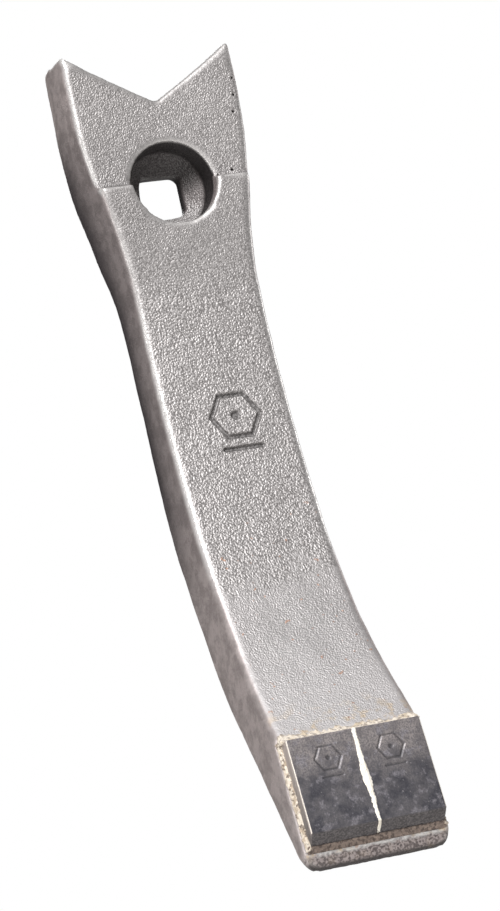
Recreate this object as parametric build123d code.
from build123d import *
from math import cos, pi, radians, sin, sqrt, tan
import os

# Carbide-tipped cultivator point, in millimetres.
# Origin: bolt axis where it meets the flat rear seat. X is across, +Y points back into the
# tine leg, +Z is up, and the point curves forward and down towards -Y.

# bolt head seat, for an M16 flat countersunk square-neck plough bolt
counterboreRadius = 17.0
counterboreFloorY = -13.0
squareSide = 17.0
squareCornerRadius = 2.5

# head plate
plateFrontY = -24.2
notchValleyZ = 34.3
notchSlope = 31.8
notchValleyRadius = 2.0
headHalfWidth = 34.4
headBackHalfWidth = 36.8

# raised wearing face: a short lean back, then two arcs that bend it forward
raisedFrontY = -28.0
faceLean = 2.0
faceStraight = 28.0
upperFaceRadius = 370.0
upperFaceEnd = 15.5
lowerFaceRadius = 212.0
lowerFaceEnd = 42.0

# back of the point, top to bottom: flat seat, short step in, shank, heel, wedge
seatStock = 0.8
seatBottom = (seatStock, -25.0)
shankTop = (-3.6, -48.0)
heel = (-11.0, -138.0)
wedgeTop = (-36.0, -200.6)
wedgeSlope = 36.5
cornerReach = 12.0

# widths down the shank
shankHalfWidth = 25.4
shankBackHalfWidth = 27.2
tipHalfWidth = 26.8
frontNarrowing = (38.0, -46.0)
backNarrowing = (22.0, -54.0)
tipWidening = (-175.0, -226.0)
frontEdgeRadius = 2.4
backEdgeRadius = 2.8
plateEdgeRadius = 1.8

# carbide plates and their bed, in the tip frame set by tipRear and tipTilt
tipRear = (-93.2, -227.1)
tipTilt = 12.0
tileWidth = 25.0
tileLength = 37.2
tileThickness = 7.0
tileChamferLength = 3.0
tileChamferDepth = 5.0
tileGap = 0.6
brazeFilm = 0.15
shimThickness = 0.3
seatRearGap = 1.2
lipReach = 39.6
brazeCrown = 0.4
rearBeadTop = 2.3
rearBeadEdge = 3.4
sideFilletWidth = 1.4
sideFilletHeight = 2.8

# nose below the lip
noseFrontReach = (1.4, -5.2)
noseBottomReach = (4.2, -6.2)
noseCornerRadius = 6.5
noseEdgeRadius = 1.6

# loft stations
loftTopZ = 58.0
loftBottomZ = -278.0
loftSteps = 28
clear = 60.0

seatDepth = tileThickness + 2 * brazeFilm + shimThickness
pairHalfWidth = tileWidth + tileGap / 2


def ease(z, limits, high, low):
    """Half width that falls from high to low between two heights along a cosine."""
    top, bottom = limits
    if z >= top:
        return high
    if z <= bottom:
        return low
    return low + (high - low) * (1 + cos(pi * (top - z) / (top - bottom))) / 2


def front_y(z):
    """Raised wearing face: a straight lean, an upper arc, a lower arc, then its tangent."""
    lean = radians(faceLean)
    turn = radians(upperFaceEnd)
    last = radians(lowerFaceEnd)
    if z >= -faceStraight:
        return raisedFrontY - z * tan(lean)
    y1 = raisedFrontY + faceStraight * tan(lean)
    centreZ = -faceStraight - upperFaceRadius * sin(lean)
    rise = (centreZ - z) / upperFaceRadius
    if rise <= sin(turn):
        return y1 - upperFaceRadius * (cos(lean) - sqrt(1 - rise**2))
    y2 = y1 - upperFaceRadius * (cos(lean) - cos(turn))
    z2 = centreZ - upperFaceRadius * sin(turn)
    rise = sin(turn) + (z2 - z) / lowerFaceRadius
    if rise <= sin(last):
        return y2 - lowerFaceRadius * (cos(turn) - sqrt(1 - rise**2))
    y3 = y2 - lowerFaceRadius * (cos(turn) - cos(last))
    z3 = z2 - lowerFaceRadius * (sin(last) - sin(turn))
    return y3 - (z3 - z) * tan(last)


def back_line(z):
    """Back of the point as straight runs, before its corners are rounded."""
    if z >= seatBottom[1]:
        return seatBottom[0]
    if z <= wedgeTop[1]:
        return wedgeTop[0] - (wedgeTop[1] - z) * tan(radians(wedgeSlope))
    corners = [seatBottom, shankTop, heel, wedgeTop]
    for upper, lower in zip(corners, corners[1:]):
        if z >= lower[1]:
            part = (upper[1] - z) / (upper[1] - lower[1])
            return upper[0] + (lower[0] - upper[0]) * part
    return wedgeTop[0]


def back_y(z):
    """Back line averaged over a short window, which rounds its corners."""
    if z > seatBottom[1]:
        return seatBottom[0]
    reach = min(cornerReach, seatBottom[1] - z)
    samples = [back_line(z + reach * offset) for offset in (-1, -0.5, 0, 0.5, 1)]
    return sum(samples) / len(samples)


def section(z):
    """Cross-section at one height: a four-sided bar, wider at its back, with rounded corners."""
    front = ease(z, frontNarrowing, headHalfWidth, shankHalfWidth)
    front += ease(z, tipWidening, 0.0, tipHalfWidth - shankHalfWidth)
    back = ease(z, backNarrowing, headBackHalfWidth, shankBackHalfWidth)
    yFront = front_y(z)
    yBack = back_y(z)
    with BuildSketch(Plane.XY.offset(z)) as sketch:
        with BuildLine():
            Polyline((-front, yFront), (front, yFront), (back, yBack), (-back, yBack), close=True)
        make_face()
        corners = sketch.vertices().sort_by(Axis.Y)
        fillet(corners[:2], frontEdgeRadius)
        corners = sketch.vertices().sort_by(Axis.Y)
        fillet(corners[-2:], backEdgeRadius)
    return sketch.sketch


def tip_point(along, depth):
    """(y, z) of a point in the tip frame: along the plates, and into the body."""
    tilt = radians(tipTilt)
    y = tipRear[0] - along * sin(tilt) + depth * cos(tilt)
    z = tipRear[1] - along * cos(tilt) - depth * sin(tilt)
    return (y, z)


def prism(points, left, right, rounded=None, radius=0.0):
    """Solid between two X positions with a (y, z) outline, one corner of it rounded if asked."""
    with BuildSketch(Plane.YZ.offset(left)) as sketch:
        with BuildLine():
            Polyline(*points, close=True)
        make_face()
        if rounded is not None:
            fillet(sketch.vertices().sort_by_distance((*points[rounded], 0))[0], radius)
    return extrude(sketch.sketch, right - left, dir=(1, 0, 0))


def tip_prism(points, left, right):
    """Solid between two X positions whose outline is given in the tip frame."""
    return prism([tip_point(*point) for point in points], left, right)


def bar():
    """Curved bar lofted through its sections, before any cuts."""
    drop = (loftTopZ - loftBottomZ) / loftSteps
    return loft([section(loftTopZ - drop * step) for step in range(loftSteps + 1)])


def plate_cut():
    """Space in front of the head plate, which leaves the wearing face raised below the crease."""
    return Pos(0, plateFrontY - clear / 2, clear / 2) * Box(2 * clear, clear, clear)


def seat_cut():
    """Stock milled off the back of the head, which leaves the tine seat flat at the origin."""
    return Pos(0, clear / 2, clear / 2) * Box(2 * clear, clear, 3 * clear)


def notch_cut():
    """V-notch that the plate above locates in, with a rounded valley."""
    rise = clear * tan(radians(notchSlope))
    with BuildSketch(Plane.XZ) as sketch:
        with BuildLine():
            Polyline((0, notchValleyZ), (clear, notchValleyZ + rise),
                     (-clear, notchValleyZ + rise), close=True)
        make_face()
        fillet(sketch.vertices().sort_by(Axis.Y)[0], notchValleyRadius)
    return Pos(0, clear, 0) * extrude(sketch.sketch, 2 * clear)


def tip_cut():
    """Space in front of the shoulder, the flat bed of the plates, the lip and the nose."""
    lip = tip_point(lipReach, seatDepth)
    front = (lip[0] + noseFrontReach[0], lip[1] + noseFrontReach[1])
    bottom = (lip[0] + noseBottomReach[0], lip[1] + noseBottomReach[1])
    beyond = (bottom[0] + clear / 3, bottom[1] - clear / 8)
    outline = [tip_point(-seatRearGap, -clear), tip_point(-seatRearGap, seatDepth), lip, front, bottom,
               beyond, (beyond[0], bottom[1] - clear), (lip[0] - 2 * clear, bottom[1] - clear)]
    return prism(outline, -clear, clear, rounded=3, radius=noseEdgeRadius)


def nose_corner_cut(side):
    """Rounds one lower corner of the nose as seen from the front."""
    bottomZ = tip_point(lipReach, seatDepth)[1] + noseBottomReach[1]
    centre = Pos(side * (tipHalfWidth - noseCornerRadius), wedgeTop[0] - clear, bottomZ + noseCornerRadius)
    block = Pos(side * clear / 2, 0, -clear / 2) * Box(clear, clear, clear)
    return centre * (block - Rot(90, 0, 0) * Cylinder(noseCornerRadius, 2 * clear))


def bolt_hole():
    """Counterbore, 90 degree countersink and square neck hole."""
    depth = clear
    bore = Pos(0, counterboreFloorY - depth / 2, 0) * Rot(90, 0, 0) * Cylinder(counterboreRadius, depth)
    sinkDepth = counterboreRadius - squareSide / 2
    sink = Cone(squareSide / 2, counterboreRadius, sinkDepth)
    sink = Pos(0, counterboreFloorY + sinkDepth / 2, 0) * Rot(90, 0, 0) * sink
    square = extrude(Plane.XZ * RectangleRounded(squareSide, squareSide, squareCornerRadius),
                     depth, both=True)
    return bore + sink + square


def make_point_body():
    """Steel body: the bar after every cut, with the head plate's front outline rounded."""
    body = bar()
    body -= plate_cut()
    body -= seat_cut()
    body -= notch_cut()
    body -= tip_cut()
    body -= nose_corner_cut(1)
    body -= nose_corner_cut(-1)
    body -= bolt_hole()
    rim = body.edges().filter_by_position(Axis.Y, plateFrontY - 0.01, plateFrontY + 0.01)
    return fillet(rim.filter_by(lambda edge: edge.center().Z > counterboreRadius + 5), plateEdgeRadius)


def tile_outline():
    """Plate outline in the tip frame, with the bevel across its front end."""
    bevelStart = tileLength - tileChamferLength
    return [(0, 0), (bevelStart, 0), (tileLength, tileChamferDepth), (tileLength, tileThickness),
            (0, tileThickness)]


def make_tile(side):
    """One carbide plate beside the centre seam."""
    inner = side * tileGap / 2
    outer = side * pairHalfWidth
    return tip_prism(tile_outline(), min(inner, outer), max(inner, outer))


def make_layer(side, top, thickness):
    """One thin layer of the bed under a plate."""
    inner = side * tileGap / 2
    outer = side * pairHalfWidth
    outline = [(0, top), (tileLength, top), (tileLength, top + thickness), (0, top + thickness)]
    return tip_prism(outline, min(inner, outer), max(inner, outer))


def make_centre_seam():
    """Braze that fills the gap between the plates and stands a little proud of them."""
    bevelStart = tileLength - tileChamferLength
    outline = [(0, -brazeCrown), (bevelStart, -brazeCrown), (tileLength, tileChamferDepth - brazeCrown),
               (tileLength, seatDepth), (0, seatDepth)]
    return tip_prism(outline, -tileGap / 2, tileGap / 2)


def make_rear_bead():
    """Braze between the shoulder of the seat and the rear ends of the plates."""
    return tip_prism([(-seatRearGap, rearBeadEdge), (0, rearBeadTop), (0, seatDepth),
                      (-seatRearGap, seatDepth)], -pairHalfWidth, pairHalfWidth)


def make_side_fillet(side):
    """Braze along the ledge beside a plate: a long three-cornered fillet."""
    tilt = radians(tipTilt)
    along = (0, -sin(tilt), -cos(tilt))
    corner = tip_point(0, seatDepth)
    place = Plane(origin=(side * pairHalfWidth, *corner), x_dir=(1, 0, 0), z_dir=along)
    with BuildSketch(place) as sketch:
        with BuildLine():
            Polyline((0, 0), (side * sideFilletWidth, 0), (0, sideFilletHeight), close=True)
        make_face()
    return extrude(sketch.sketch, tileLength, dir=along)


def make_front_fillet():
    """Braze between the front ends of the plates and the lip."""
    reach = lipReach - tileLength - 0.2
    return tip_prism([(tileLength, seatDepth), (tileLength + reach, seatDepth),
                      (tileLength, seatDepth - reach)], -pairHalfWidth, pairHalfWidth)


def make_parts():
    """Every sub-part by its node name."""
    parts = {"point_body": make_point_body()}
    upperTop = tileThickness
    shimTop = upperTop + brazeFilm
    lowerTop = shimTop + shimThickness
    for name, side in (("left", -1), ("right", 1)):
        parts["carbide_tile_" + name] = make_tile(side)
        parts["upper_braze_" + name] = make_layer(side, upperTop, brazeFilm)
        parts["copper_shim_" + name] = make_layer(side, shimTop, shimThickness)
        parts["lower_braze_" + name] = make_layer(side, lowerTop, brazeFilm)
        parts["side_braze_fillet_" + name] = make_side_fillet(side)
    parts["centre_braze_seam"] = make_centre_seam()
    parts["rear_braze_bead"] = make_rear_bead()
    parts["front_braze_fillet"] = make_front_fillet()
    return parts


os.makedirs("parts", exist_ok=True)
for node, shape in make_parts().items():
    export_step(shape, "parts/" + node + ".step")
